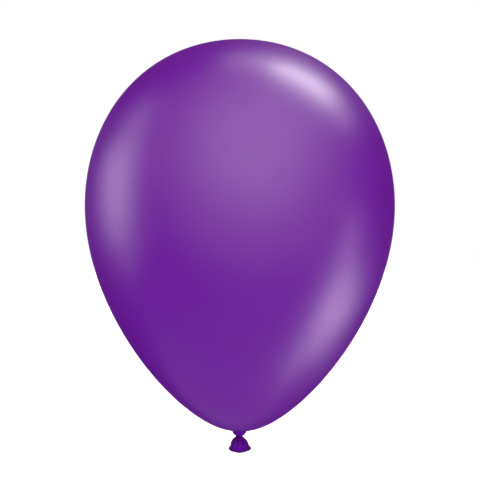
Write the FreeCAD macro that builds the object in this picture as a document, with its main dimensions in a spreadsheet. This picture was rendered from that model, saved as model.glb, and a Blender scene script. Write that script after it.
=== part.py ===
import FreeCAD, Part
import math
import os

import Sketcher

# A tied party balloon, in millimetres, +Z up towards the crown.
# The origin is the centre of the pinched waist, between the knot and the tail.
# One dipped skin makes the whole balloon; each region that works by itself is its own solid:
#   envelope    the stretched bubble, open only where it gathers into the neck
#   neck        the gathered skin that turns up into a dimple above the knot
#   knot_wrap   the loop of the knot
#   knot_core   the strand inside the loop, on which the bubble sways
#   throat      the pinched waist below the knot, on which the tail folds
#   tail_skirt  the slack, flared mouth of the balloon, open downwards
#   rolled_lip  the bead rolled round the mouth

SIZES = {
    # the bubble
    "bubble_radius": 139.7,
    "crown_height": 360.4,
    "widest_height": 210.0,
    "crown_shoulder": 86.5,
    "crown_fullness": 82.0,
    "flank_drop": 96.5,
    "flank_sweep": 44.0,
    "skin": 0.5,
    # the neck and its dimple
    "neck_roll": 1.2,
    "neck_rise": 3.3,
    # the knot
    "knot_radius": 6.5,
    "knot_height": 6.0,
    "knot_clearance": 0.4,
    "core_radius": 2.0,
    "eye_radius": 1.2,
    # the waist
    "throat_radius": 2.9,
    "strand_clearance": 0.25,
    # the tail
    "collar_radius": 1.5,
    "shoulder_radius": 6.0,
    "shoulder_drop": 4.1,
    "flare_radius": 10.5,
    "roof_wall": 0.9,
    "hem_wall": 0.8,
    # the rolled lip
    "lip_ring_radius": 8.95,
    "lip_bead_radius": 1.15,
    "lip_drop": 11.5,
}

# Sizes that two pieces share, written once as expressions on the sheet.
DIMPLE_RADIUS = "sizes.knot_radius + sizes.knot_clearance"
CORE_ROOM = "sizes.core_radius + sizes.strand_clearance"
THROAT_ROOM = "sizes.throat_radius + sizes.strand_clearance"
NECK_RADIUS = f"sqrt(({DIMPLE_RADIUS} + sizes.neck_roll)^2 - sizes.neck_rise^2)"
ROLL_HEIGHT = "sizes.knot_height + sizes.neck_rise"
BUBBLE_FLOOR = f"{ROLL_HEIGHT} - sizes.neck_roll"
CEILING_DROP = "sizes.shoulder_drop + sizes.roof_wall"

ORIGIN = (-1, 1)
AXIS = -2
START, END, CENTRE = 1, 2, 3
CUBIC_POLES = 4

doc = FreeCAD.newDocument("balloon")
sheet = doc.addObject("Spreadsheet::Sheet", "sizes")
for row, (alias, value) in enumerate(SIZES.items(), start=1):
    sheet.set(f"A{row}", alias.replace("_", " "))
    sheet.set(f"B{row}", str(value))
    sheet.setAlias(f"B{row}", alias)
doc.recompute()


def point(x, z):
    """A point of a half profile: x is the distance from the axis, z the height."""
    return FreeCAD.Vector(x, z, 0)


class Profile:
    """A half profile drawn on a body's XZ plane and turned about the Z axis."""

    def __init__(self, label):
        self.body = doc.addObject("PartDesign::Body", label)
        self.body.Label = label
        self.sketch = self.body.newObject("Sketcher::SketchObject", f"{label}_profile")
        planes = [o for o in self.body.Origin.OriginFeatures if o.Role == "XZ_Plane"]
        self.sketch.AttachmentSupport = [(planes[0], "")]
        self.sketch.MapMode = "FlatFace"

    def constrain(self, kind, *where):
        return self.sketch.addConstraint(Sketcher.Constraint(kind, *where))

    def dimension(self, kind, expression, *where):
        """A dimension whose size is an expression on the sheet."""
        size = abs(float(self.sketch.evalExpression(expression)))
        index = self.sketch.addConstraint(Sketcher.Constraint(kind, *where, size))
        self.sketch.setExpression(f"Constraints[{index}]", expression)

    def out(self, expression, geometry, place):
        """Set a point's distance from the axis."""
        self.dimension("DistanceX", expression, *ORIGIN, geometry, place)

    def up(self, expression, geometry, place):
        """Set a point's height above the origin."""
        self.dimension("DistanceY", expression, *ORIGIN, geometry, place)

    def down(self, expression, geometry, place):
        """Set a point's depth below the origin."""
        self.dimension("DistanceY", expression, geometry, place, *ORIGIN)

    def join(self, first, first_end, second, second_end):
        self.constrain("Coincident", first, first_end, second, second_end)

    def on_axis(self, geometry, place):
        self.constrain("PointOnObject", geometry, place, AXIS)

    def line(self, start, end):
        return self.sketch.addGeometry(Part.LineSegment(point(*start), point(*end)), False)

    def arc(self, centre, radius, start, end):
        """An arc that runs anticlockwise from one angle, in degrees, to another."""
        circle = Part.Circle(point(*centre), FreeCAD.Vector(0, 0, 1), radius)
        turn = Part.ArcOfCircle(circle, math.radians(start), math.radians(end))
        return self.sketch.addGeometry(turn, False)

    def cubic(self, poles):
        """A cubic curve, drawn through its poles. Returns the curve and its poles."""
        curve = Part.BSplineCurve()
        places = [point(*pole) for pole in poles]
        curve.buildFromPolesMultsKnots(places, [4, 4], [0, 1], False, 3)
        geometry = self.sketch.addGeometry(curve, False)
        self.sketch.exposeInternalGeometry(geometry)
        return geometry, [geometry + 1 + pole for pole in range(CUBIC_POLES)]

    def revolve(self):
        doc.recompute()
        turn = self.body.newObject("PartDesign::Revolution", f"{self.body.Label}_turn")
        turn.Profile = self.sketch
        turn.ReferenceAxis = (self.sketch, ["V_Axis"])
        turn.Angle = 360.0
        self.sketch.Visibility = False
        doc.recompute()
        return self.body


def size(expression):
    """The present value of an expression on the sheet, to draw a profile near its place."""
    return float(sheet.evalExpression(expression))


def bubble_side(profile, depth):
    """Draw the bubble's crown and flank curves, a depth in from the outside of its skin.

    The inside's handles are a little shorter, as those of an offset curve are.
    """
    inset = size(depth)
    side, middle = SIZES["bubble_radius"] - inset, SIZES["widest_height"]
    top, floor = SIZES["crown_height"] - inset, size(BUBBLE_FLOOR) + inset
    crown, (apex, shoulder, cheek, equator) = profile.cubic([
        (0, top),
        (SIZES["crown_shoulder"] - inset / 2, top),
        (side, middle + SIZES["crown_fullness"] - inset / 2),
        (side, middle),
    ])
    flank, (belt, hip, sweep, rim) = profile.cubic([
        (side, middle),
        (side, middle - SIZES["flank_drop"] + inset / 2),
        (size(NECK_RADIUS) + SIZES["flank_sweep"] - inset * 3 / 2, floor),
        (size(NECK_RADIUS), floor),
    ])
    profile.on_axis(apex, CENTRE)
    profile.up(f"sizes.crown_height - {depth}", apex, CENTRE)
    profile.constrain("Horizontal", apex, CENTRE, shoulder, CENTRE)
    profile.out(f"sizes.crown_shoulder - {depth} / 2", shoulder, CENTRE)
    profile.constrain("Vertical", cheek, CENTRE, equator, CENTRE)
    profile.up(f"sizes.widest_height + sizes.crown_fullness - {depth} / 2", cheek, CENTRE)
    profile.out(f"sizes.bubble_radius - {depth}", equator, CENTRE)
    profile.up("sizes.widest_height", equator, CENTRE)
    profile.join(belt, CENTRE, equator, CENTRE)
    profile.constrain("Vertical", hip, CENTRE, belt, CENTRE)
    profile.up(f"sizes.widest_height - sizes.flank_drop + {depth} / 2", hip, CENTRE)
    profile.constrain("Horizontal", sweep, CENTRE, rim, CENTRE)
    profile.out(f"{NECK_RADIUS} + sizes.flank_sweep - {depth} * 3 / 2", sweep, CENTRE)
    profile.out(NECK_RADIUS, rim, CENTRE)
    profile.up(f"{BUBBLE_FLOOR} + {depth}", rim, CENTRE)
    return crown, flank


def envelope():
    """The bubble: a thin skin, closed at the crown and open where the neck starts."""
    profile = Profile("envelope")
    top, skin = SIZES["crown_height"], SIZES["skin"]
    neck_radius, floor = size(NECK_RADIUS), size(BUBBLE_FLOOR)
    outer_crown, outer_flank = bubble_side(profile, "0")
    inner_crown, inner_flank = bubble_side(profile, "sizes.skin")
    rim = profile.line((neck_radius, floor), (neck_radius, floor + skin))
    profile.join(rim, START, outer_flank, END)
    profile.join(rim, END, inner_flank, END)
    apex = profile.line((0, top - skin), (0, top))
    profile.join(apex, START, inner_crown, START)
    profile.join(apex, END, outer_crown, START)
    return profile.revolve()


def neck():
    """The gathered skin: it rolls in under the bubble and up into a dimple round the knot."""
    profile = Profile("neck")
    middle, reach = SIZES["knot_height"], size(DIMPLE_RADIUS)
    ring, roll, skin = size(NECK_RADIUS), SIZES["neck_roll"], SIZES["skin"]
    roll_height = size(ROLL_HEIGHT)
    lean = math.degrees(math.atan2(roll_height - middle, ring))
    dimple = profile.arc((0, middle), reach, lean, 90)
    outer_roll = profile.arc((ring, roll_height), roll, 180 + lean, 270)
    inner_roll = profile.arc((ring, roll_height), roll - skin, 180 + lean, 270)
    cap = profile.arc((0, middle), reach + skin, lean, 90)
    seam = profile.line((ring, roll_height - roll), (ring, roll_height - roll + skin))
    apex = profile.line((0, middle + reach), (0, middle + reach + skin))
    profile.on_axis(dimple, CENTRE)
    profile.up("sizes.knot_height", dimple, CENTRE)
    profile.join(cap, CENTRE, dimple, CENTRE)
    profile.out(NECK_RADIUS, outer_roll, CENTRE)
    profile.join(inner_roll, CENTRE, outer_roll, CENTRE)
    profile.dimension("Radius", DIMPLE_RADIUS, dimple)
    profile.dimension("Radius", f"{DIMPLE_RADIUS} + sizes.skin", cap)
    profile.dimension("Radius", "sizes.neck_roll", outer_roll)
    profile.constrain("Tangent", dimple, START, outer_roll, START)
    profile.constrain("Tangent", cap, START, inner_roll, START)
    profile.constrain("Vertical", outer_roll, CENTRE, outer_roll, END)
    profile.constrain("Vertical", inner_roll, CENTRE, inner_roll, END)
    profile.join(seam, START, outer_roll, END)
    profile.join(seam, END, inner_roll, END)
    profile.on_axis(dimple, END)
    profile.on_axis(cap, END)
    profile.join(apex, START, dimple, END)
    profile.join(apex, END, cap, END)
    return profile.revolve()


def knot_wrap():
    """The knot's loop: a ball with an eye down its middle and room for the core."""
    profile = Profile("knot_wrap")
    middle, reach = SIZES["knot_height"], SIZES["knot_radius"]
    eye, room, cup = SIZES["eye_radius"], size(CORE_ROOM), size(THROAT_ROOM)
    top = math.degrees(math.acos(eye / reach))
    inner = math.degrees(math.acos(eye / room))
    meet_height = (cup ** 2 - reach ** 2 + middle ** 2) / (2 * middle)
    meet = math.degrees(math.asin((meet_height - middle) / reach))
    cup_end = math.degrees(math.asin(meet_height / cup))
    cup_start = math.degrees(math.acos(eye / cup))
    outside = profile.arc((0, middle), reach, meet, top)
    hollow = profile.arc((0, middle), room, -inner, inner)
    seat = profile.arc((0, 0), cup, cup_end, cup_start)
    upper = profile.line((eye, middle + room), (eye, middle + reach))
    lower = profile.line((eye, cup), (eye, middle - room))
    profile.on_axis(outside, CENTRE)
    profile.up("sizes.knot_height", outside, CENTRE)
    profile.join(hollow, CENTRE, outside, CENTRE)
    profile.join(seat, CENTRE, *ORIGIN)
    profile.dimension("Radius", "sizes.knot_radius", outside)
    profile.dimension("Radius", CORE_ROOM, hollow)
    profile.dimension("Radius", THROAT_ROOM, seat)
    profile.constrain("Vertical", upper)
    profile.constrain("Vertical", lower)
    profile.out("sizes.eye_radius", upper, START)
    profile.out("sizes.eye_radius", lower, START)
    profile.join(upper, END, outside, END)
    profile.join(upper, START, hollow, END)
    profile.join(lower, END, hollow, START)
    profile.join(lower, START, seat, END)
    profile.join(seat, START, outside, START)
    return profile.revolve()


def strand(label, radius, height):
    """A stretch of bare strand, drawn as a ball about the point where it bends."""
    ball = doc.addObject("Part::Sphere", label)
    ball.Label = label
    ball.setExpression("Radius", radius)
    ball.setExpression("Placement.Base.z", height)
    doc.recompute()
    return ball


def tail_skirt():
    """The slack mouth: a thin bell that hangs from the waist and ends inside the lip."""
    profile = Profile("tail_skirt")
    cup, collar = size(THROAT_ROOM), SIZES["collar_radius"]
    shoulder = (SIZES["shoulder_radius"], -SIZES["shoulder_drop"])
    hem = (SIZES["lip_ring_radius"], -SIZES["lip_drop"])
    wall, flare = SIZES["hem_wall"], SIZES["flare_radius"]
    ceiling = -size(CEILING_DROP)
    chord = math.hypot(hem[0] - shoulder[0], hem[1] - shoulder[1])
    sink = math.sqrt(flare ** 2 - chord ** 2 / 4) / chord
    centre = (
        (shoulder[0] + hem[0]) / 2 + (hem[1] - shoulder[1]) * sink,
        (shoulder[1] + hem[1]) / 2 - (hem[0] - shoulder[0]) * sink,
    )

    def angle(place):
        return math.degrees(math.atan2(place[1] - centre[1], place[0] - centre[0]))

    inner_top = math.degrees(math.asin((ceiling - centre[1]) / (flare - wall)))
    inner_hem = math.degrees(math.asin((hem[1] - centre[1]) / (flare - wall)))
    seat = profile.arc((0, 0), cup, -90, -math.degrees(math.acos(collar / cup)))
    rim = -math.sqrt(cup ** 2 - collar ** 2)
    slope = profile.line((collar, rim), shoulder)
    outside = profile.arc(centre, flare, angle(hem), angle(shoulder))
    inside = profile.arc(centre, flare - wall, inner_hem, inner_top)
    edge = profile.line((hem[0] - wall, hem[1]), hem)
    roof = profile.line((0, ceiling), (shoulder[0], ceiling))
    axis = profile.line((0, ceiling), (0, -cup))
    profile.join(seat, CENTRE, *ORIGIN)
    profile.dimension("Radius", THROAT_ROOM, seat)
    profile.on_axis(seat, START)
    profile.out("sizes.collar_radius", seat, END)
    profile.join(slope, START, seat, END)
    profile.out("sizes.shoulder_radius", slope, END)
    profile.down("sizes.shoulder_drop", slope, END)
    profile.join(outside, END, slope, END)
    profile.out("sizes.lip_ring_radius", outside, START)
    profile.down("sizes.lip_drop", outside, START)
    profile.dimension("Radius", "sizes.flare_radius", outside)
    profile.join(inside, CENTRE, outside, CENTRE)
    profile.dimension("Radius", "sizes.flare_radius - sizes.hem_wall", inside)
    profile.constrain("Horizontal", edge)
    profile.join(edge, END, outside, START)
    profile.join(edge, START, inside, START)
    profile.constrain("Horizontal", roof)
    profile.down(CEILING_DROP, roof, START)
    profile.join(roof, END, inside, END)
    profile.join(axis, START, roof, START)
    profile.join(axis, END, seat, START)
    profile.on_axis(axis, START)
    return profile.revolve()


def rolled_lip():
    """The bead round the mouth, which the skirt's hem runs into."""
    bead = doc.addObject("Part::Torus", "rolled_lip")
    bead.Label = "rolled_lip"
    bead.setExpression("Radius1", "sizes.lip_ring_radius")
    bead.setExpression("Radius2", "sizes.lip_bead_radius")
    bead.setExpression("Placement.Base.z", "-sizes.lip_drop")
    doc.recompute()
    return bead


pieces = [
    envelope(),
    neck(),
    knot_wrap(),
    strand("knot_core", "sizes.core_radius", "sizes.knot_height"),
    strand("throat", "sizes.throat_radius", "0"),
    tail_skirt(),
    rolled_lip(),
]
doc.recompute()

for item in doc.Objects:
    if "Invalid" in item.State or "Error" in item.State:
        raise RuntimeError(f"{item.Label} failed: {item.State}")
    if item.TypeId == "Sketcher::SketchObject" and not item.FullyConstrained:
        raise RuntimeError(f"{item.Label} isn't fully constrained")

os.makedirs("parts", exist_ok=True)
for piece in pieces:
    shape = piece.Shape
    if shape.isNull() or not shape.isValid() or shape.Volume <= 0:
        raise RuntimeError(f"{piece.Label} has no valid solid")
    shape.exportStep(f"parts/{piece.Label}.step")
    box = shape.BoundBox
    print(f"{piece.Label}: {shape.Volume:.1f} mm3, z {box.ZMin:.2f} to {box.ZMax:.2f},"
          f" x {box.XMin:.2f} to {box.XMax:.2f}")
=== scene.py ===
import logging
import math
from dataclasses import dataclass
from enum import Enum

import bpy
import numpy as np
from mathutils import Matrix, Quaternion, Vector


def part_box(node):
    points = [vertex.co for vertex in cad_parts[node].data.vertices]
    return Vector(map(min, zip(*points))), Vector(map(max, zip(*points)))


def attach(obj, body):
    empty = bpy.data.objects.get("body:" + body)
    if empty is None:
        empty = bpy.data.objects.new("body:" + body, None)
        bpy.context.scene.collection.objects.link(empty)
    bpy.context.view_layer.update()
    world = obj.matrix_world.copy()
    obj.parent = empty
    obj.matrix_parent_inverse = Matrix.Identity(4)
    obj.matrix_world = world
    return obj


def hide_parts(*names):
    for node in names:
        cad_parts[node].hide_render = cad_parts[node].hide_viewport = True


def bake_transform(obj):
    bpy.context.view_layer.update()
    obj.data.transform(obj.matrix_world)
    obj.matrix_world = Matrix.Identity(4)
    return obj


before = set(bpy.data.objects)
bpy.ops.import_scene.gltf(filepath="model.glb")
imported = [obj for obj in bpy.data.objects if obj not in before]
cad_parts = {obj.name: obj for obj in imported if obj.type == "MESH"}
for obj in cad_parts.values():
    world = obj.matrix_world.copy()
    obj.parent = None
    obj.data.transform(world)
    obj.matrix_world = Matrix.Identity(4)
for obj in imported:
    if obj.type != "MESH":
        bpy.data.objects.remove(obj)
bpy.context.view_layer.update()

# A tied latex balloon. Shapes are worked out in millimetres, with the origin at the pinched
# waist and +Z up to the crown, and become metres only when a mesh is made.

log = logging.getLogger("balloon")
MM = 0.001
FULL_TURN = 2.0 * np.pi
QUARTER_TURN = FULL_TURN / 4.0


class Slot(Enum):
    """The record's material slots."""

    STRETCHED = "stretched_latex"
    SLACK = "slack_latex"


class Ends(Enum):
    """How a stack of rings is closed."""

    POLES = "each end ring shrinks to a point"
    LOOP = "the last ring joins the first"


def cad_box(node: str) -> tuple[np.ndarray, np.ndarray]:
    """Read a CAD node's box.

    Args:
        node: The node's name.

    Returns:
        The lowest and highest corners, in millimetres.
    """
    low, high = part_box(node)
    return np.array(low) / MM, np.array(high) / MM


def compass(azimuth: float, elevation: float) -> np.ndarray:
    """Point a unit vector.

    Args:
        azimuth: Degrees from the camera's side, -Y, towards its right, +X.
        elevation: Degrees above level.

    Returns:
        The vector.
    """
    turn, climb = math.radians(azimuth), math.radians(elevation)
    level = math.cos(climb)
    return np.array([math.sin(turn) * level, -math.cos(turn) * level, math.sin(climb)])


def around(columns: int) -> np.ndarray:
    """Give evenly spaced angles for one turn, the last short of the first.

    Args:
        columns: How many angles.

    Returns:
        The angles in radians.
    """
    return np.linspace(0.0, FULL_TURN, columns, endpoint=False)


def smooth_step(value: np.ndarray, low: float, high: float) -> np.ndarray:
    """Rise from 0 at low to 1 at high, level at both ends: 3t squared less 2t cubed.

    Args:
        value: Where to read the step.
        low: Where it starts.
        high: Where it ends.

    Returns:
        The step's height at each value.
    """
    t = np.clip((value - low) / (high - low), 0.0, 1.0)
    return t * t * (3.0 - 2.0 * t)


def cubic(poles: tuple, steps: np.ndarray) -> np.ndarray:
    """Work out a Bezier cubic: its four poles weighted by Bernstein's polynomials.

    Args:
        poles: Four (radius, height) pairs.
        steps: Parameters from 0 to 1.

    Returns:
        The curve's (radius, height) pairs, one row a step.
    """
    a, b, c, d = (np.array(pole, float) for pole in poles)
    s = steps[:, None]
    r = 1.0 - s
    return r**3 * a + 3 * s * r**2 * b + 3 * s**2 * r * c + s**3 * d


def ripple(angle: np.ndarray, terms: tuple) -> np.ndarray:
    """Add up sines round a ring.

    Args:
        angle: Angles in radians.
        terms: The (count, size, phase in radians) of each sine.

    Returns:
        The sum at each angle.
    """
    return sum(size * np.sin(count * angle + phase) for count, size, phase in terms)


@dataclass(frozen=True)
class Folds:
    """Uneven folds round a ring: rounded ridges with narrow valleys between them.

    The bends are a ripple's terms. They move the folds a little round the ring, so that they
    differ in width. A higher sharpness makes narrower valleys.
    """

    count: int
    bends: tuple
    sharpness: float

    def depth(self, angle: np.ndarray) -> np.ndarray:
        """Work out how deep in the folds the skin lies.

        It is 1 less the size of the sine of half the count times the bent angle, raised to the
        sharpness.

        Args:
            angle: Angles in radians.

        Returns:
            The depth at each angle, from 0 on a ridge to 1 in a valley.
        """
        bent = angle + ripple(angle, self.bends)
        return (1.0 - np.abs(np.sin(self.count * bent / 2.0))) ** self.sharpness


def plateau(steps: np.ndarray, edge: float) -> np.ndarray:
    """Rise from 0 to 1, hold, and fall back to 0: one smooth step up times one down.

    Args:
        steps: Parameters from 0 to 1.
        edge: How much of the way the rise takes, and the fall.

    Returns:
        The plateau's height at each step.
    """
    return smooth_step(steps, 0.0, edge) * (1.0 - smooth_step(steps, 1.0 - edge, 1.0))


def ring_stack(radius: np.ndarray, angle: np.ndarray, height: np.ndarray) -> np.ndarray:
    """Turn cylindrical coordinates into points.

    Args:
        radius: Distances from the axis, one row a ring.
        angle: Angles in radians.
        height: Heights.

    Returns:
        Points of shape (rings, columns, 3).
    """
    radius, angle, height = np.broadcast_arrays(radius, angle, height)
    return np.stack([radius * np.cos(angle), radius * np.sin(angle), height], axis=-1)


def ring_line(out: float, up: float, radius: float, angle: np.ndarray) -> np.ndarray:
    """Draw an arc in the (radius, height) plane.

    Args:
        out: The arc's centre, from the axis.
        up: The arc's centre, in height.
        radius: The arc's radius.
        angle: Angles from straight out, in radians.

    Returns:
        (radius, height) pairs.
    """
    return np.stack([out + radius * np.cos(angle), up + radius * np.sin(angle)], axis=-1)


def unit(vectors: np.ndarray) -> np.ndarray:
    """Scale vectors to a length of one.

    Args:
        vectors: One vector a row.

    Returns:
        The unit vectors.
    """
    return vectors / np.linalg.norm(vectors, axis=1, keepdims=True)


def knot_middle() -> float:
    """Give the height of the knot's middle, about which the bubble sways, in millimetres."""
    low, high = cad_box("knot_core")
    return float(low[2] + high[2]) / 2.0


def stitch(rows: int, columns: int, ends: Ends) -> tuple[np.ndarray, np.ndarray]:
    """Number the faces between neighbouring rings.

    Args:
        rows: How many rings.
        columns: How many points in a ring.
        ends: How the stack is closed.

    Returns:
        The quads, and the triangles that close the poles.
    """
    grid = np.arange(rows * columns).reshape(rows, columns)
    lower = grid if ends is Ends.LOOP else grid[:-1]
    upper = np.roll(grid, -1, axis=0) if ends is Ends.LOOP else grid[1:]
    quads = np.stack(
        [lower, np.roll(lower, -1, axis=1), np.roll(upper, -1, axis=1), upper], axis=-1
    ).reshape(-1, 4)
    if ends is Ends.LOOP:
        return quads, np.empty((0, 3), int)
    first, last = grid[0], grid[-1]
    bottom, top = rows * columns, rows * columns + 1
    fan_in = np.stack([np.roll(first, -1), first, np.full(columns, bottom)], axis=-1)
    fan_out = np.stack([last, np.roll(last, -1), np.full(columns, top)], axis=-1)
    return quads, np.concatenate([fan_in, fan_out])


def enclosed_volume(points: np.ndarray, quads: np.ndarray, fans: np.ndarray) -> float:
    """Add up the signed cones from the origin to each face, positive if faces point out.

    Args:
        points: The vertices.
        quads: Four vertex numbers a face.
        fans: Three vertex numbers a face.

    Returns:
        The signed volume.
    """
    corners = np.concatenate([quads[:, [0, 1, 2]], quads[:, [0, 2, 3]], fans])
    a, b, c = (points[corners[:, i]] for i in range(3))
    return float(np.einsum("ij,ij->i", a, np.cross(b, c)).sum() / 6.0)


def closed_surface(
    name: str, rings: np.ndarray, ends: Ends, stretch_and_shade: np.ndarray
) -> bpy.types.Object:
    """Make an object from a stack of rings, closed, smooth and facing outwards.

    Args:
        name: The piece's name.
        rings: Points in millimetres, of shape (rings, columns, 3).
        ends: How the stack is closed.
        stretch_and_shade: How far the skin is stretched at each point, from 0, slack, to 1,
            taut, less the painted shade laid in folds, creases and at the sides.

    Returns:
        The object, linked to the scene.
    """
    rows, columns = rings.shape[:2]
    points = rings.reshape(-1, 3)
    pull_and_shade = np.broadcast_to(stretch_and_shade, (rows, columns)).reshape(-1)
    if ends is Ends.POLES:
        points = np.concatenate([points, rings[[0, -1]].mean(axis=1)])
        pull_and_shade = np.concatenate([pull_and_shade, pull_and_shade[[0, -1]]])
    quads, fans = stitch(rows, columns, ends)
    if enclosed_volume(points, quads, fans) < 0.0:
        quads, fans = quads[:, ::-1], fans[:, ::-1]
    mesh = bpy.data.meshes.new(name)
    mesh.from_pydata((points * MM).tolist(), [], quads.tolist() + fans.tolist())
    mesh.polygons.foreach_set("use_smooth", np.ones(len(mesh.polygons), bool))
    # The stretch_and_shade attribute holds how stretched the latex is, less the painted shade laid in
    # folds, creases and at the sides.
    marks = mesh.attributes.new("stretch_and_shade", "FLOAT", "POINT")
    marks.data.foreach_set("value", np.ascontiguousarray(pull_and_shade, np.float32))
    mesh.update()
    piece = bpy.data.objects.new(name, mesh)
    bpy.context.scene.collection.objects.link(piece)
    return piece


class Nodes:
    """A short way to write a shader: each call adds a node and links what it is given."""

    NOISE_ROUGHNESS = 0.55
    NOISE_LOW = 0.3
    NOISE_HIGH = 0.7

    def __init__(self, tree: bpy.types.NodeTree) -> None:
        """Start from an empty tree.

        Args:
            tree: The node tree of a material or a world.
        """
        self.tree = tree
        self.tree.nodes.clear()

    def add(self, kind: str, inputs: dict | None = None, **settings: str) -> bpy.types.Node:
        """Add a node.

        Args:
            kind: The node's Blender type name.
            inputs: Values or output sockets, by input name or number.
            settings: The node's own properties.

        Returns:
            The node.
        """
        node = self.tree.nodes.new(kind)
        for key, value in settings.items():
            setattr(node, key, value)
        for key, value in (inputs or {}).items():
            if isinstance(value, bpy.types.NodeSocket):
                self.tree.links.new(value, node.inputs[key])
            else:
                node.inputs[key].default_value = value
        return node

    def noise(self, place: bpy.types.NodeSocket, scale: float, detail: float) -> bpy.types.NodeSocket:
        """Add a noise texture.

        Args:
            place: Where to read it.
            scale: How many times it repeats in one unit.
            detail: How many finer layers it has.

        Returns:
            The noise's value.
        """
        inputs = {"Vector": place, "Scale": scale, "Detail": detail, "Roughness": self.NOISE_ROUGHNESS}
        return self.add("ShaderNodeTexNoise", inputs).outputs["Fac"]

    def spread(self, value: bpy.types.NodeSocket, low: float, high: float) -> bpy.types.NodeSocket:
        """Map a noise's usual range onto another.

        Args:
            value: The noise's value.
            low: What its usual lowest value becomes.
            high: What its usual highest value becomes.

        Returns:
            The mapped value.
        """
        inputs = {
            "Value": value, "From Min": self.NOISE_LOW, "From Max": self.NOISE_HIGH,
            "To Min": low, "To Max": high,
        }
        return self.add("ShaderNodeMapRange", inputs).outputs["Result"]

    def blend(
        self,
        factor: bpy.types.NodeSocket,
        first: tuple | bpy.types.NodeSocket,
        second: tuple | bpy.types.NodeSocket,
    ) -> bpy.types.NodeSocket:
        """Mix two colours.

        Args:
            factor: How much of the second to take, from 0 to 1.
            first: A socket or a linear triple.
            second: A socket or a linear triple.

        Returns:
            The mixed colour.
        """
        first, second = ((*c, 1.0) if isinstance(c, tuple) else c for c in (first, second))
        factor_input, first_input, second_input, colour_output = 0, 6, 7, 2
        inputs = {factor_input: factor, first_input: first, second_input: second}
        return self.add("ShaderNodeMix", inputs, data_type="RGBA").outputs[colour_output]


@dataclass(frozen=True)
class LatexFinish:
    """Dipped, coloured latex: dense where it is slack, clearer and paler where it is stretched,
    with painted shade in folds, creases and at the sides, and painted light on the knot and tail.

    Colours are linear. Lengths are in metres, and a scale is in repeats to the metre, apart from
    the streaks', which is in repeats to the radian.
    """

    name: str
    slack_and_shade_colour: tuple
    stretched_and_lit_colour: tuple
    cloud_colour: tuple
    roughness: float
    roughness_spread: float
    grain_size: float
    grain_depth: float
    gloss: float
    cloud_scale: float = 22.0
    cloud_detail: float = 4.0
    cloud_share: float = 0.35
    streak_scale: float = 9.0
    streak_detail: float = 3.0
    streak_share: float = 0.25
    streak_climb: float = 1.5
    grain_detail: float = 2.0
    refraction: float = 1.5

    def build(self) -> bpy.types.Material:
        """Make the material.

        The colour follows the piece's stretch_and_shade attribute, which holds how stretched the
        latex is and the painted shade, then a soft cloudiness and faint streaks that run from neck to
        crown, as the dip leaves them. The gloss varies with the same clouds, and a fine grain
        roughens the surface.

        Returns:
            The material.
        """
        material = bpy.data.materials.new(self.name)
        material.use_nodes = True
        nodes = Nodes(material.node_tree)
        place = nodes.add("ShaderNodeTexCoord").outputs["Object"]
        pull_and_shade = nodes.add("ShaderNodeAttribute", attribute_name="stretch_and_shade").outputs["Fac"]
        # Blend from the dark colour to the pale one: the dark end is also painted shade, and on the knot
        # and tail the pale end is painted light.
        skin = nodes.blend(pull_and_shade, self.slack_and_shade_colour, self.stretched_and_lit_colour)
        clouds = nodes.noise(place, self.cloud_scale, self.cloud_detail)
        streaks = nodes.noise(self._meridians(nodes, place), self.streak_scale, self.streak_detail)
        cloudy = nodes.blend(nodes.spread(clouds, 0.0, self.cloud_share), skin, self.cloud_colour)
        dipped = nodes.blend(nodes.spread(streaks, 0.0, self.streak_share), cloudy, skin)
        low, high = self.roughness - self.roughness_spread, self.roughness + self.roughness_spread
        grain = nodes.noise(place, 1.0 / self.grain_size, self.grain_detail)
        bump = nodes.add(
            "ShaderNodeBump", {"Height": grain, "Strength": 1.0, "Distance": self.grain_depth}
        ).outputs["Normal"]
        surface = nodes.add("ShaderNodeBsdfPrincipled", {
            "Base Color": dipped,
            "Roughness": nodes.spread(clouds, low, high),
            "IOR": self.refraction,
            "Specular IOR Level": self.gloss,
            "Normal": bump,
        })
        nodes.add("ShaderNodeOutputMaterial", {"Surface": surface.outputs["BSDF"]})
        return material

    def _meridians(self, nodes: Nodes, place: bpy.types.NodeSocket) -> bpy.types.NodeSocket:
        """Make coordinates that change quickly round the balloon and slowly along it.

        The level direction from the axis is made one unit long, and the height is scaled down,
        so a noise read there draws streaks along the meridians, with no seam.

        Args:
            nodes: The material's nodes.
            place: The object's own coordinates.

        Returns:
            The coordinates.
        """
        parts = nodes.add("ShaderNodeSeparateXYZ", {"Vector": place}).outputs
        level = nodes.add("ShaderNodeCombineXYZ", {"X": parts["X"], "Y": parts["Y"]}).outputs["Vector"]
        outward = nodes.add("ShaderNodeVectorMath", {0: level}, operation="NORMALIZE").outputs["Vector"]
        climb = {0: place, 1: (0.0, 0.0, self.streak_climb)}
        slow = nodes.add("ShaderNodeVectorMath", climb, operation="MULTIPLY").outputs["Vector"]
        inputs = {0: outward, 1: slow}
        return nodes.add("ShaderNodeVectorMath", inputs, operation="ADD").outputs["Vector"]


# The bubble's dark colour is the thick latex of the dimple and the crown's spot, and also the painted
# shade in the gathers' valleys.
STRETCHED_FINISH = LatexFinish(
    name="stretched_latex",
    slack_and_shade_colour=(0.055, 0.0022, 0.15),
    stretched_and_lit_colour=(0.122, 0.004, 0.321),
    cloud_colour=(0.132, 0.005, 0.333),
    roughness=0.388,
    roughness_spread=0.02,
    grain_size=0.0011,
    grain_depth=0.000012,
    gloss=0.5,
)
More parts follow.
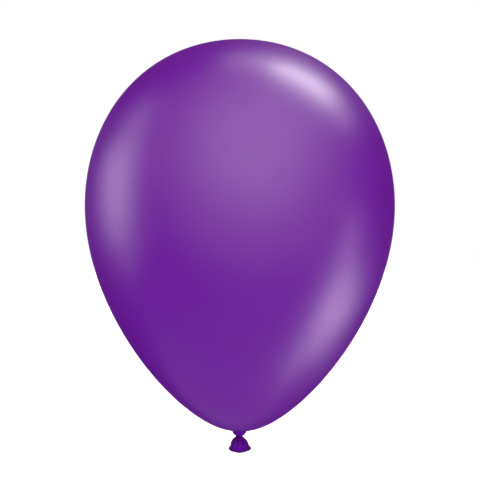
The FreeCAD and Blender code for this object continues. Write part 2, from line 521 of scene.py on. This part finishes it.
# The knot's and the tail's dark colour is painted shade in their folds, creases and flanks. Their pale
# colour, lighter than the bubble's latex, is painted light: it stands in for light passing through the
# thin latex where the bubble above shades it.
SLACK_FINISH = LatexFinish(
    name="slack_latex",
    slack_and_shade_colour=(0.022, 0.0002, 0.062),
    stretched_and_lit_colour=(0.152, 0.0016, 0.53),
    cloud_colour=(0.095, 0.0005, 0.19),
    roughness=0.36,
    roughness_spread=0.05,
    grain_size=0.0006,
    grain_depth=0.00003,
    gloss=0.05,
)


@dataclass
class Part:
    """What every sub-assembly shares: its finish, and how a piece joins the frame."""

    finish: bpy.types.Material
    slot: Slot

    def dress(self, piece: bpy.types.Object, *stands_for: str) -> bpy.types.Object:
        """Give a piece its finish and hide the CAD nodes that it stands for.

        Args:
            piece: The piece.
            stands_for: The names of the CAD nodes that it hides.

        Returns:
            The same piece.
        """
        piece.data.materials.append(self.finish)
        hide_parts(*stands_for)
        return piece

    def build(self) -> bpy.types.Object:
        """Make the piece and dress it, which each sub-assembly does in its own way."""
        raise NotImplementedError


@dataclass
class Bubble(Part):
    """The inflated skin, from the crown down to the dimple that holds the knot.

    Lengths are in millimetres, and a slack or a painted shade is what is taken off the
    stretch_and_shade value, which runs from 0 to 1. The radius and the crown's height come from
    the frame.
    """

    widest_height: float = 211.6
    crown_shoulder: float = 88.0
    crown_fullness: float = 78.5
    flank_drop: float = 104.8
    flank_sweep: float = 39.0
    neck_radius: float = 7.5
    floor_height: float = 7.4
    roll_radius: float = 1.1
    slack_radius: float = 3.0
    spot_slack: float = 0.3
    spot_radius: float = 8.0
    gathers: Folds = Folds(25, ((3, 0.05, 0.4), (5, 0.03, 2.0), (8, 0.02, 1.1)), 1.8)
    gather_depth: float = 0.35
    gather_reach: float = 9.0
    gather_shade: float = 0.1
    gather_fade_start: float = 25.0
    gather_fade_end: float = 45.0
    crown_rings: int = 103
    crown_gap: float = 0.004
    flank_rings: int = 149
    flank_bunching: float = 1.3
    roll_rings: int = 10
    cup_rings: int = 22
    columns: int = 288

    def dimple(self) -> tuple[float, float]:
        """Work out the dimple, an arc about the knot's middle that meets the roll at a tangent.

        Returns:
            The arc's radius, and the angle above level where it starts, in radians.
        """
        rise = self.floor_height + self.roll_radius - knot_middle()
        return math.hypot(self.neck_radius, rise) - self.roll_radius, math.atan2(rise, self.neck_radius)

    def ceiling(self) -> float:
        """Give the height of the dimple's top, where the neck's strand joins it."""
        return knot_middle() + self.dimple()[0]

    def outline(self) -> np.ndarray:
        """Work out the half outline from the crown to the top of the dimple.

        It is two cubic curves, crown to widest and widest to neck, then the roll, an arc that
        turns the skin up, then the dimple, an arc about the knot's middle. The first ring stands
        a small gap from the pole, and the flank's rings bunch towards the neck by a power.

        Returns:
            (radius, height) pairs.
        """
        _, (side, _, top) = cad_box("envelope")
        cup_radius, lean = self.dimple()
        crown = cubic(
            (
                (0.0, top),
                (self.crown_shoulder, top),
                (side, self.widest_height + self.crown_fullness),
                (side, self.widest_height),
            ),
            np.linspace(self.crown_gap, 1.0, self.crown_rings + 1)[:-1],
        )
        to_neck = 1.0 - np.linspace(0.0, 1.0, self.flank_rings + 1)[:-1]
        flank = cubic(
            (
                (side, self.widest_height),
                (side, self.widest_height - self.flank_drop),
                (self.neck_radius + self.flank_sweep, self.floor_height),
                (self.neck_radius, self.floor_height),
            ),
            1.0 - to_neck**self.flank_bunching,
        )
        turn = np.linspace(-np.pi / 2, lean - np.pi, self.roll_rings)
        roll = ring_line(self.neck_radius, self.floor_height + self.roll_radius, self.roll_radius, turn)
        rise = np.linspace(lean, np.pi / 2, self.cup_rings + 2)[1:-1]
        cup = ring_line(0.0, knot_middle(), cup_radius, rise)
        return np.concatenate([crown, flank, roll, cup])

    def build(self) -> bpy.types.Object:
        """Turn the outline about Z and press the gathers in round the neck.

        A gather's depth falls off with the distance from the neck, and it moves the skin
        upwards, into the bubble. The skin is taut everywhere but in the dimple and at the thick spot
        on the crown, and painted shade darkens the gathers' valleys a little.

        Returns:
            The dressed piece.
        """
        outline = self.outline()
        radius, height = outline[:, :1], outline[:, 1:]
        angle = around(self.columns)[None, :]
        folds = self.gathers.depth(angle)
        below = height < self.widest_height
        past = np.clip(radius - self.neck_radius, 0.0, None)
        fade = 1.0 - smooth_step(past, self.gather_fade_start, self.gather_fade_end)
        near = np.exp(-past / self.gather_reach) * below * fade
        rings = ring_stack(radius, angle, height + self.gather_depth * folds * near)
        slack_below = (1.0 - smooth_step(radius, self.slack_radius, self.neck_radius)) * below
        spot = self.spot_slack * np.exp(-((radius / self.spot_radius) ** 2)) * ~below
        # Take off the dimple's and the crown spot's slack, and a painted shade in the gathers' valleys.
        tight_and_shade = 1.0 - slack_below - spot - self.gather_shade * folds * near
        piece = closed_surface("bubble_skin", rings, Ends.POLES, np.clip(tight_and_shade, 0.0, 1.0))
        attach(piece, "bubble")
        return self.dress(piece, "envelope", "neck")


@dataclass
class Knot(Part):
    """The overhand knot: the neck's twisted strand, wound round itself and pulled taut.

    Lengths are in millimetres. Shares are of the strand's way from its first end to its last, and
    factors are what its reach and its thickness shrink to at both ends.
    """

    turns: float = 1.75
    start_turn: float = 0.5
    top_height: float = 7.2
    ring_height: float = 4.35
    end_height: float = 4.1
    top_reach: float = 2.3
    ring_reach: float = 3.6
    top_thickness: float = 2.2
    ring_thickness: float = 2.85
    settle_share: float = 0.6
    drop_share: float = 0.75
    tuck_factor: float = 0.02
    tuck_share: float = 0.09
    end_factor: float = 0.6
    end_share: float = 0.07
    sideways: float = -0.45
    tilt: float = 0.07
    underside: float = 2.2
    underside_softness: float = 0.35
    ridges: Folds = Folds(9, ((2, 0.16, 0.7), (3, 0.09, 2.1)), 1.3)
    ridge_depth: float = 0.12
    ridge_shade: float = 0.9
    ridge_twist: float = 3.2
    side_shade: float = 0.5
    side_reach: float = 7.0
    rings: int = 280
    columns: int = 54

    def path(self, steps: np.ndarray) -> np.ndarray:
        """Work out the wound strand's centre line.

        It turns steadily about the axis, on a small ring at first and a wider, lower one once it
        has settled. At both ends it turns in to the axis, where the strand tucks in. A slight
        tilt lifts one side, and the whole knot sits a little to one side.

        Args:
            steps: Parameters from 0 to 1.

        Returns:
            Points, one row a step.
        """
        angle = FULL_TURN * (self.start_turn + self.turns * steps)
        tuck = self.tuck_factor + (1.0 - self.tuck_factor) * plateau(steps, self.tuck_share)
        settle = smooth_step(steps, 0.0, self.settle_share)
        reach = tuck * (self.top_reach + (self.ring_reach - self.top_reach) * settle)
        x, y = reach * np.cos(angle), reach * np.sin(angle)
        drop = (self.top_height - self.ring_height) * settle
        last = (self.ring_height - self.end_height) * smooth_step(steps, self.drop_share, 1.0)
        z = self.top_height - drop - last + self.tilt * x
        return np.stack([x + self.sideways, y, z], axis=-1)

    def thickness(self, steps: np.ndarray) -> np.ndarray:
        """Work out the strand's radius, which grows as it settles and tapers at both ends.

        Args:
            steps: Parameters from 0 to 1.

        Returns:
            The radius at each step.
        """
        settle = smooth_step(steps, 0.0, self.settle_share)
        plain = self.top_thickness + (self.ring_thickness - self.top_thickness) * settle
        return plain * (self.end_factor + (1.0 - self.end_factor) * plateau(steps, self.end_share))

    def pressed(self, height: np.ndarray) -> np.ndarray:
        """Flatten the underside: a smooth maximum of the height and the underside's level.

        It is half of the two's sum, plus half of the hypotenuse of their difference and the
        softness.

        Args:
            height: Heights before pressing.

        Returns:
            Heights after it.
        """
        over = height - self.underside
        return 0.5 * (height + self.underside + np.hypot(over, self.underside_softness))

    def build(self) -> bpy.types.Object:
        """Carry a ridged round section along the path.

        The section stands across the path, between the direction outwards from the knot's
        middle and the one square to it. Ridges run along the strand and twist with it, as
        bunched latex does. Painted shade darkens the valleys and the knot's left and right sides.

        Returns:
            The dressed piece.
        """
        steps = np.linspace(0.0, 1.0, self.rings)
        path = self.path(steps)
        along = unit(np.gradient(path, axis=0))
        outward = path - np.array([self.sideways, 0.0, self.ring_height])
        outward = unit(outward - (outward * along).sum(axis=1, keepdims=True) * along)
        across = np.cross(along, outward)
        angle = around(self.columns)[None, :]
        folds = self.ridges.depth(angle + self.ridge_twist * steps[:, None])
        radius = self.thickness(steps)[:, None] * (1.0 - self.ridge_depth * folds)
        rings = (
            path[:, None, :]
            + (radius * np.cos(angle))[..., None] * outward[:, None, :]
            + (radius * np.sin(angle))[..., None] * across[:, None, :]
        )
        rings[..., 2] = self.pressed(rings[..., 2])
        # Painted shade: darker in the ridges' valleys and towards the knot's left and right sides.
        side = np.clip(rings[..., 0] / self.side_reach, -1.0, 1.0) ** 2
        tight_and_shade = (1.0 - self.ridge_shade * folds) * (1.0 - self.side_shade * side)
        piece = closed_surface("knot_coil", rings, Ends.POLES, tight_and_shade)
        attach(piece, "knot")
        return self.dress(piece, "knot_wrap")


@dataclass
class NeckTwist(Part):
    """The twisted strand that runs from the top of the knot to the dimple's ceiling.

    Lengths are in millimetres, the folds' depth is a share of the radius and the twist is in
    radians. It starts inside the knot's top turn and ends just past the ceiling.
    """

    knot_top: float
    ceiling: float
    start_above: float = 1.0
    end_past: float = 0.15
    bend_bottom: float = 9.4
    radius: float = 1.7
    flare: float = 1.1
    folds: Folds = Folds(11, ((2, 0.12, 0.2), (3, 0.07, 1.4)), 1.7)
    fold_depth: float = 0.16
    stretch_and_shade: float = 0.7
    twist: float = 1.8
    rings: int = 40
    columns: int = 72

    def build(self) -> bpy.types.Object:
        """Make the strand. Its radius grows with the square of the height above its start.

        Returns:
            The dressed piece.
        """
        bottom, top = self.knot_top + self.start_above, self.ceiling + self.end_past
        share = np.linspace(0.0, 1.0, self.rings)[:, None]
        angle = around(self.columns)[None, :]
        folds = self.folds.depth(angle + self.twist * share)
        radius = (self.radius + self.flare * share**2) * (1.0 - self.fold_depth * folds)
        rings = ring_stack(radius, angle, bottom + (top - bottom) * share)
        # Painted shade: the folds' valleys are darker.
        piece = closed_surface("neck_twist", rings, Ends.POLES, self.stretch_and_shade * (1.0 - folds))
        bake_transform(piece)
        return self.dress(piece, "knot_core")


@dataclass
class TailPart(Part):
    """What the slack mouth's pieces share: its waist, its pleats and the line of its rim.

    Lengths are in millimetres, and the pleats' depth is a share of the radius. The lip's ring
    and depth come from the frame.
    """

    waist_radius: float = 3.05
    waist_length: float = 0.4
    waist_sideways: float = -0.5
    sideways_reach: float = 6.0
    broad_pleats: Folds = Folds(11, ((2, 0.14, 1.1), (3, 0.1, 0.3), (5, 0.04, 2.6)), 1.2)
    fine_pleats: Folds = Folds(29, ((3, 0.08, 0.9), (4, 0.05, 2.3)), 1.5)
    fine_share: float = 0.35
    pleat_depth: float = 0.24
    # The mouth's colour level, less the painted shade in the pleats' valleys and at the flanks.
    stretch_and_shade: float = 0.84
    pleat_shade: float = 1.25
    flank_shade: float = 0.8
    flank_power: int = 4
    rim_swell: float = 0.1
    rim_ripple: tuple = ((2, 0.1, QUARTER_TURN), (3, 0.06, 0.0))
    rim_sag: tuple = (
        (2, 0.28, QUARTER_TURN),
        (1, 0.06, QUARTER_TURN),
        (4, -0.12, QUARTER_TURN),
        (1, -0.2, 0.0),
    )
    columns: int = 264

    def pleats(self, angle: np.ndarray) -> np.ndarray:
        """Mix the broad and the fine folds that the waist gathers.

        Args:
            angle: Angles in radians.

        Returns:
            The depth of the folds, from 0 to 1.
        """
        broad, fine = self.broad_pleats.depth(angle), self.fine_pleats.depth(angle)
        return (1.0 - self.fine_share) * broad + self.fine_share * fine

    def tightness_and_shade(self, angle: np.ndarray, pleat: np.ndarray) -> np.ndarray:
        """Say how taut the skin is, less the painted shade in the pleats' valleys and along the two
        flanks.

        The flanks, at the mouth's left and right, are darkened where a high power of the cosine peaks.

        Args:
            angle: Angles in radians.
            pleat: The depth of the folds, from 0 to 1.

        Returns:
            How taut the skin is, less the painted shade, from 0 to 1.
        """
        # Painted shade: darker in the pleats' valleys and at the left and right flanks.
        flank = np.cos(angle) ** self.flank_power
        tight_and_shade = (1.0 - self.pleat_shade * pleat) * (1.0 - self.flank_shade * flank)
        return np.clip(self.stretch_and_shade * tight_and_shade, 0.0, 1.0)

    def bead(self) -> float:
        """Give the radius of the lip's bead, from the frame."""
        low, high = cad_box("rolled_lip")
        return (high[2] - low[2]) / 2.0

    def rim(self, angle: np.ndarray) -> tuple[np.ndarray, np.ndarray]:
        """Work out the bead's centre line: a ring with a slow wave in radius and in height.

        Args:
            angle: Angles in radians.

        Returns:
            The line's radius and height at each angle.
        """
        low, high = cad_box("rolled_lip")
        radius = high[0] - self.bead() + self.rim_swell + ripple(angle, self.rim_ripple)
        return radius, (low[2] + high[2]) / 2.0 + ripple(angle, self.rim_sag)

    def past_waist(self, distance: np.ndarray) -> np.ndarray:
        """Shorten distances from the waist so that they start level, as a hyperbola does.

        Args:
            distance: Distances along the axis.

        Returns:
            The hypotenuse of the distance and the waist's length, less that length.
        """
        return np.hypot(distance, self.waist_length) - self.waist_length

    def pulled(self, rings: np.ndarray) -> np.ndarray:
        """Move the waist a little to one side, by a bell curve of the distance from it.

        Args:
            rings: Points of shape (rings, columns, 3), which are changed.

        Returns:
            The same points.
        """
        rings[..., 0] += self.waist_sideways * np.exp(-((rings[..., 2] / self.sideways_reach) ** 2))
        return rings


@dataclass
class Waist(TailPart):
    """The gathered strand that comes out from under the knot and narrows to the pinched waist.

    The twist is in radians to the millimetre.
    """

    top: float = 4.4
    spread: float = 3.3
    spread_height: float = 1.75
    spread_power: float = 1.1
    close_below: float = 1.2
    close_above: float = 0.3
    pleat_twist: float = -0.03
    bend_top: float = 2.8
    rings: int = 56

    def build(self) -> bpy.types.Object:
        """Make the strand.

        Its radius eases out from the waist's as 1 less the exponential of minus a power of the
        height, and closes inside the knot.

        Returns:
            The dressed piece.
        """
        angle = around(self.columns)[None, :]
        height = self.top * np.linspace(0.0, 1.0, self.rings)[:, None]
        climb = (self.past_waist(height) / self.spread_height) ** self.spread_power
        plain = self.waist_radius + self.spread * (1.0 - np.exp(-climb))
        closing = 1.0 - smooth_step(height, self.top - self.close_below, self.top + self.close_above)
        folds = self.pleats(angle + self.pleat_twist * height)
        radius = plain * closing * (1.0 - self.pleat_depth * folds)
        rings = self.pulled(ring_stack(radius, angle, height))
        # Painted shade darkens the pleats' valleys and the flanks.
        piece = closed_surface("waist_gather", rings, Ends.POLES, self.tightness_and_shade(angle, folds))
        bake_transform(piece)
        return self.dress(piece, "throat")


@dataclass
class Skirt(TailPart):
    """The pleated bell that flares from the waist to the rim, open below.

    The lean and the bulge are shares of the radius, and the twist is in radians to the
    millimetre. The inside closes between a little above the roof and further below it.
    """

    flare_depth: float = 3.9
    flare_power: float = 1.1
    lean: float = 0.03
    bulge: float = 0.03
    bulge_depth: float = 3.2
    wall: float = 0.35
    pleat_reach: float = 7.0
    pleat_twist: float = 0.02
    pleat_shade_reach: float = 28.0
    roof_depth: float = 1.9
    roof_above: float = 0.6
    roof_below: float = 3.4
    roof_roundness: float = 0.7
    bend_depth: float = 5.0
    outside_rings: int = 90
    inside_rings: int = 80
    ring_bunching: float = 1.15

    def bell(self, depth: np.ndarray, angle: np.ndarray) -> np.ndarray:
        """Work out the outer radius at a depth below the waist.

        The radius eases from the waist's to the rim's as 1 less the exponential of minus a
        power of the depth. It bulges, and leans to one side, by a bump that starts from nothing
        at the waist, is highest at the bulge's depth and dies away below it: the depth times the
        exponential of minus the depth. The pleats cut in, deepest just below the waist.

        Args:
            depth: Depths below the waist.
            angle: Angles in radians.

        Returns:
            The radius at each depth and angle.
        """
        rim_radius, _ = self.rim(angle)
        ease = 1.0 - np.exp(-((self.past_waist(depth) / self.flare_depth) ** self.flare_power))
        plain = self.waist_radius + (rim_radius - self.waist_radius) * ease
        down = depth / self.bulge_depth
        bump = down * np.exp(1.0 - down)
        leaning = plain * (1.0 - self.lean * np.cos(angle) * bump + self.bulge * bump)
        cut = self.pleat_depth * np.exp(-depth / self.pleat_reach)
        return leaning * (1.0 - cut * self.pleats(angle + self.pleat_twist * depth))

    def build(self) -> bpy.types.Object:
        """Make the bell as a thin wall: down the outside, round the hem and up the inside.

        The inside follows the outside, a wall's thickness in, and closes to a point below the
        waist, where the skin is pinched shut.

        Returns:
            The dressed piece.
        """
        angle = around(self.columns)[None, :]
        _, rim_height = self.rim(angle)
        depth = -rim_height * np.linspace(0.0, 1.0, self.outside_rings)[:, None] ** self.ring_bunching
        outside = ring_stack(self.bell(depth, angle), angle, -depth)
        back = np.linspace(1.0, 0.0, self.inside_rings)[:, None] ** self.ring_bunching
        inner_depth = self.roof_depth + (-rim_height - self.roof_depth) * back
        shut, open_again = self.roof_depth - self.roof_above, self.roof_depth + self.roof_below
        closing = smooth_step(inner_depth, shut, open_again) ** self.roof_roundness
        inner_radius = (self.bell(inner_depth, angle) - self.wall) * closing
        inside = ring_stack(inner_radius, angle, -inner_depth)
        rings = self.pulled(np.concatenate([outside, inside]))
        depths = np.concatenate([depth, inner_depth])
        # Painted shade in the pleats' valleys, fading with depth.
        pleat = self.pleats(angle + self.pleat_twist * depths) * np.exp(-depths / self.pleat_shade_reach)
        piece = closed_surface("tail_skirt_skin", rings, Ends.POLES, self.tightness_and_shade(angle, pleat))
        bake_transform(piece)
        return self.dress(piece, "tail_skirt")


@dataclass
class Lip(TailPart):
    """The bead rolled round the mouth's hem.

    The swell and the groove's depth are shares of the bead's radius. The edge is at an angle
    round the section, from straight out, in radians.
    """

    swell: tuple = ((2, 0.1, QUARTER_TURN), (3, 0.03, 0.4), (7, 0.02, 0.0))
    edge_angle: float = -0.9
    edge_wander: tuple = ((2, 0.25, 0.5),)
    groove_depth: float = 0.1
    groove_width: float = 0.2
    groove_shade: float = 6.0
    lip_stretch: float = 0.45
    rings: int = 288
    section_points: int = 40

    def build(self) -> bpy.types.Object:
        """Carry a round section along the rim, thicker and thinner by turns.

        A shallow groove, a bell curve of the angle round the section, runs round its lower
        outside, where the rolled skin's edge lies, and wanders a little up and down.

        Returns:
            The dressed piece.
        """
        turn = around(self.rings)[:, None]
        section = around(self.section_points)[None, :]
        rim_radius, rim_height = self.rim(turn)
        edge = FULL_TURN + self.edge_angle + ripple(turn, self.edge_wander)
        groove = self.groove_depth * np.exp(-(((section - edge) / self.groove_width) ** 2))
        radius = self.bead() * (1.0 + ripple(turn, self.swell)) * (1.0 - groove)
        reach = rim_radius + radius * np.cos(section)
        height = rim_height + radius * np.sin(section)
        rings = ring_stack(reach, turn, height)
        # Painted shade darkens the flanks and the groove where the rolled edge lies.
        smooth = self.tightness_and_shade(turn, np.zeros_like(turn))
        tight_and_shade = self.lip_stretch * smooth * (1.0 - self.groove_shade * groove).clip(0.0)
        piece = closed_surface("lip_bead", rings, Ends.LOOP, tight_and_shade)
        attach(piece, "tail")
        return self.dress(piece, "rolled_lip")


# The lights' tints, as linear red, green and blue.
NEUTRAL = (1.0, 1.0, 1.0)
WARM = (1.13, 1.0, 0.87)
LAVENDER = (1.19, 1.0, 1.18)


class Duty(Enum):
    """What a light does."""

    FILL = "lights the skin's own colour and makes no reflection"
    SHINE = "is seen in reflections and adds no other light"


def hang(
    name: str,
    lamp: bpy.types.Light,
    duty: Duty,
    spot: np.ndarray,
    way: np.ndarray,
    roll: float = 0.0,
) -> None:
    """Put a lamp in the scene, facing back along a direction.

    Args:
        name: The light's name.
        lamp: Its data.
        duty: What it does.
        spot: Where it hangs.
        way: The unit vector from the balloon to the light.
        roll: A turn about its own axis, in degrees.
    """
    lamp.cycles.use_multiple_importance_sampling = False
    light = bpy.data.objects.new(name, lamp)
    bpy.context.scene.collection.objects.link(light)
    light.location = spot
    aim = Vector(-way).to_track_quat("-Z", "Y")
    light.rotation_euler = (aim @ Quaternion((0.0, 0.0, 1.0), math.radians(roll))).to_euler()
    light.visible_camera = False
    light.visible_diffuse = duty is Duty.FILL
    light.visible_glossy = duty is Duty.SHINE


@dataclass(frozen=True)
class Softbox:
    """A rectangular light that faces the middle of the balloon.

    The azimuth is measured from the camera towards its right, the elevation from level and the
    roll about the light's own axis, all in degrees. Lengths are in metres.
    """

    name: str
    azimuth: float
    elevation: float
    width: float
    height: float
    roll: float
    brightness: float
    tint: tuple = LAVENDER
    distance: float = 1.4

    def build(self, target: np.ndarray) -> None:
        """Hang the light. Its power is its brightness times pi times its area.

        Args:
            target: The point that it faces.
        """
        lamp = bpy.data.lights.new(self.name, "AREA")
        lamp.shape = "RECTANGLE"
        lamp.size, lamp.size_y = self.width, self.height
        lamp.energy = self.brightness * math.pi * self.width * self.height
        lamp.color = self.tint
        way = compass(self.azimuth, self.elevation)
        hang(self.name, lamp, Duty.SHINE, target + way * self.distance, way, self.roll)


@dataclass(frozen=True)
class Dome:
    """An even, round patch of far light, up to half of all directions. Angles are in degrees."""

    name: str
    azimuth: float
    elevation: float
    half_width: float
    brightness: float
    duty: Duty
    tint: tuple

    def build(self, target: np.ndarray) -> None:
        """Hang the light.

        Its strength is its brightness times the area of the flat disc that its edge encloses on
        a unit sphere.

        Args:
            target: The point that it faces.
        """
        lamp = bpy.data.lights.new(self.name, "SUN")
        half = math.radians(self.half_width)
        lamp.angle = 2.0 * half
        lamp.energy = self.brightness * math.pi * math.sin(half) ** 2
        lamp.color = self.tint
        way = compass(self.azimuth, self.elevation)
        hang(self.name, lamp, self.duty, target + way, way)


@dataclass
class Studio:
    """A plain, pale room: soft light all round, a few softboxes and a floor far below.

    Lengths are in metres, apart from the lens and the sensor, which are in millimetres.
    """

    floor_height: float = -1.0
    floor_size: float = 60.0
    floor_colour: tuple = (0.95, 0.95, 0.95, 1.0)
    floor_roughness: float = 0.9
    floor_glow: float = 0.3
    white: tuple = (1.0, 1.0, 1.0, 1.0)
    lens: float = 50.0
    sensor_width: float = 36.0
    camera_shift: float = 0.00014
    camera_distance: float = 0.6165
    camera_height: float = 0.18125

    def domes(self) -> list[Dome]:
        """List the broad lights.

        Two half domes, a warm one in front and a neutral one behind, fill the whole room. Three
        domes about one axis make the broad shine in front, and one makes the shine from below.

        Returns:
            The domes.
        """
        return [
            Dome("key", azimuth=13.4, elevation=41.3, half_width=90.0, brightness=1.17,
                 duty=Duty.FILL, tint=WARM),
            Dome("back_fill", azimuth=-166.6, elevation=-41.3, half_width=90.0, brightness=0.83,
                 duty=Duty.FILL, tint=NEUTRAL),
            Dome("front_inner", azimuth=9.8, elevation=31.2, half_width=22.0, brightness=0.93,
                 duty=Duty.SHINE, tint=LAVENDER),
            Dome("front_middle", azimuth=9.8, elevation=31.2, half_width=40.0, brightness=1.39,
                 duty=Duty.SHINE, tint=LAVENDER),
            Dome("front_outer", azimuth=9.8, elevation=31.2, half_width=65.0, brightness=0.95,
                 duty=Duty.SHINE, tint=LAVENDER),
            Dome("low", azimuth=-71.0, elevation=-79.6, half_width=41.6, brightness=0.335,
                 duty=Duty.SHINE, tint=LAVENDER),
        ]

    def softboxes(self) -> list[Softbox]:
        """List the softboxes: each highlight has a core and a longer surround.

        Returns:
            The softboxes.
        """
        return [
            Softbox("upper_right_core", azimuth=102.5, elevation=60.8, width=0.047, height=0.69,
                    roll=-5.3, brightness=98.0, tint=NEUTRAL),
            Softbox("upper_right_surround", azimuth=110.4, elevation=63.2, width=0.18, height=1.62,
                    roll=-17.4, brightness=5.6),
            Softbox("left_core", azimuth=-92.6, elevation=9.6, width=0.82, height=0.82,
                    roll=11.5, brightness=2.33),
            Softbox("left_surround", azimuth=-89.4, elevation=13.3, width=0.43, height=1.81,
                    roll=5.3, brightness=2.26),
            Softbox("lower_right_core", azimuth=96.0, elevation=-35.5, width=0.58, height=0.67,
                    roll=-24.3, brightness=4.13),
            Softbox("lower_right_surround", azimuth=83.1, elevation=-33.5, width=0.083, height=1.76,
                    roll=5.2, brightness=13.0),
        ]

    def build_world(self) -> None:
        """Make the room: white where the camera looks past the balloon, and dark otherwise."""
        world = bpy.data.worlds.new("room")
        bpy.context.scene.world = world
        world.use_nodes = True
        nodes = Nodes(world.node_tree)
        seen = nodes.add("ShaderNodeLightPath").outputs["Is Camera Ray"]
        inputs = {"Color": self.white, "Strength": seen}
        backdrop = nodes.add("ShaderNodeBackground", inputs).outputs["Background"]
        nodes.add("ShaderNodeOutputWorld", {"Surface": backdrop})

    def build_floor(self) -> None:
        """Lay a pale, matt floor, which neither lights the balloon nor takes a shadow from it."""
        half, level = self.floor_size / 2.0, self.floor_height
        corners = [(-half, -half, level), (half, -half, level), (half, half, level), (-half, half, level)]
        mesh = bpy.data.meshes.new("floor")
        mesh.from_pydata(corners, [], [(0, 1, 2, 3)])
        floor = bpy.data.objects.new("floor", mesh)
        bpy.context.scene.collection.objects.link(floor)
        pale = bpy.data.materials.new("pale_floor")
        pale.use_nodes = True
        nodes = Nodes(pale.node_tree)
        shade = nodes.add("ShaderNodeBsdfPrincipled", {
            "Base Color": self.floor_colour,
            "Roughness": self.floor_roughness,
            "Specular IOR Level": 0.0,
            "Emission Color": self.white,
            "Emission Strength": self.floor_glow,
        })
        nodes.add("ShaderNodeOutputMaterial", {"Surface": shade.outputs["BSDF"]})
        mesh.materials.append(pale)
        floor.visible_glossy = floor.visible_diffuse = floor.visible_shadow = False

    def build_camera(self) -> None:
        """Stand the camera level in front of the balloon, at mid height."""
        data = bpy.data.cameras.new("camera")
        data.lens, data.sensor_width = self.lens, self.sensor_width
        camera = bpy.data.objects.new("camera", data)
        camera.location = (self.camera_shift, -self.camera_distance, self.camera_height)
        camera.rotation_euler = (math.pi / 2, 0.0, 0.0)
        bpy.context.scene.collection.objects.link(camera)
        bpy.context.scene.camera = camera

    def build(self) -> None:
        """Set up the room, the lights and the camera."""
        self.build_world()
        self.build_floor()
        target = np.array([0.0, 0.0, self.camera_height])
        for light in self.domes() + self.softboxes():
            light.build(target)
        self.build_camera()
        bpy.context.scene.view_settings.view_transform = "Standard"


def main() -> None:
    """Build the balloon from the crown down, then the studio round it."""
    stretched, slack = STRETCHED_FINISH.build(), SLACK_FINISH.build()
    bubble = Bubble(stretched, Slot.STRETCHED)
    knot = Knot(slack, Slot.SLACK)
    parts = [
        bubble,
        knot,
        NeckTwist(slack, Slot.SLACK, knot_top=knot.top_height, ceiling=bubble.ceiling()),
        Waist(slack, Slot.SLACK),
        Skirt(slack, Slot.SLACK),
        Lip(slack, Slot.SLACK),
    ]
    for part in parts:
        piece = part.build()
        log.info("%s: %d faces", piece.name, len(piece.data.polygons))
    Studio().build()


if __name__ == "__main__":
    logging.basicConfig(level=logging.INFO, format="%(name)s: %(message)s")
    main()
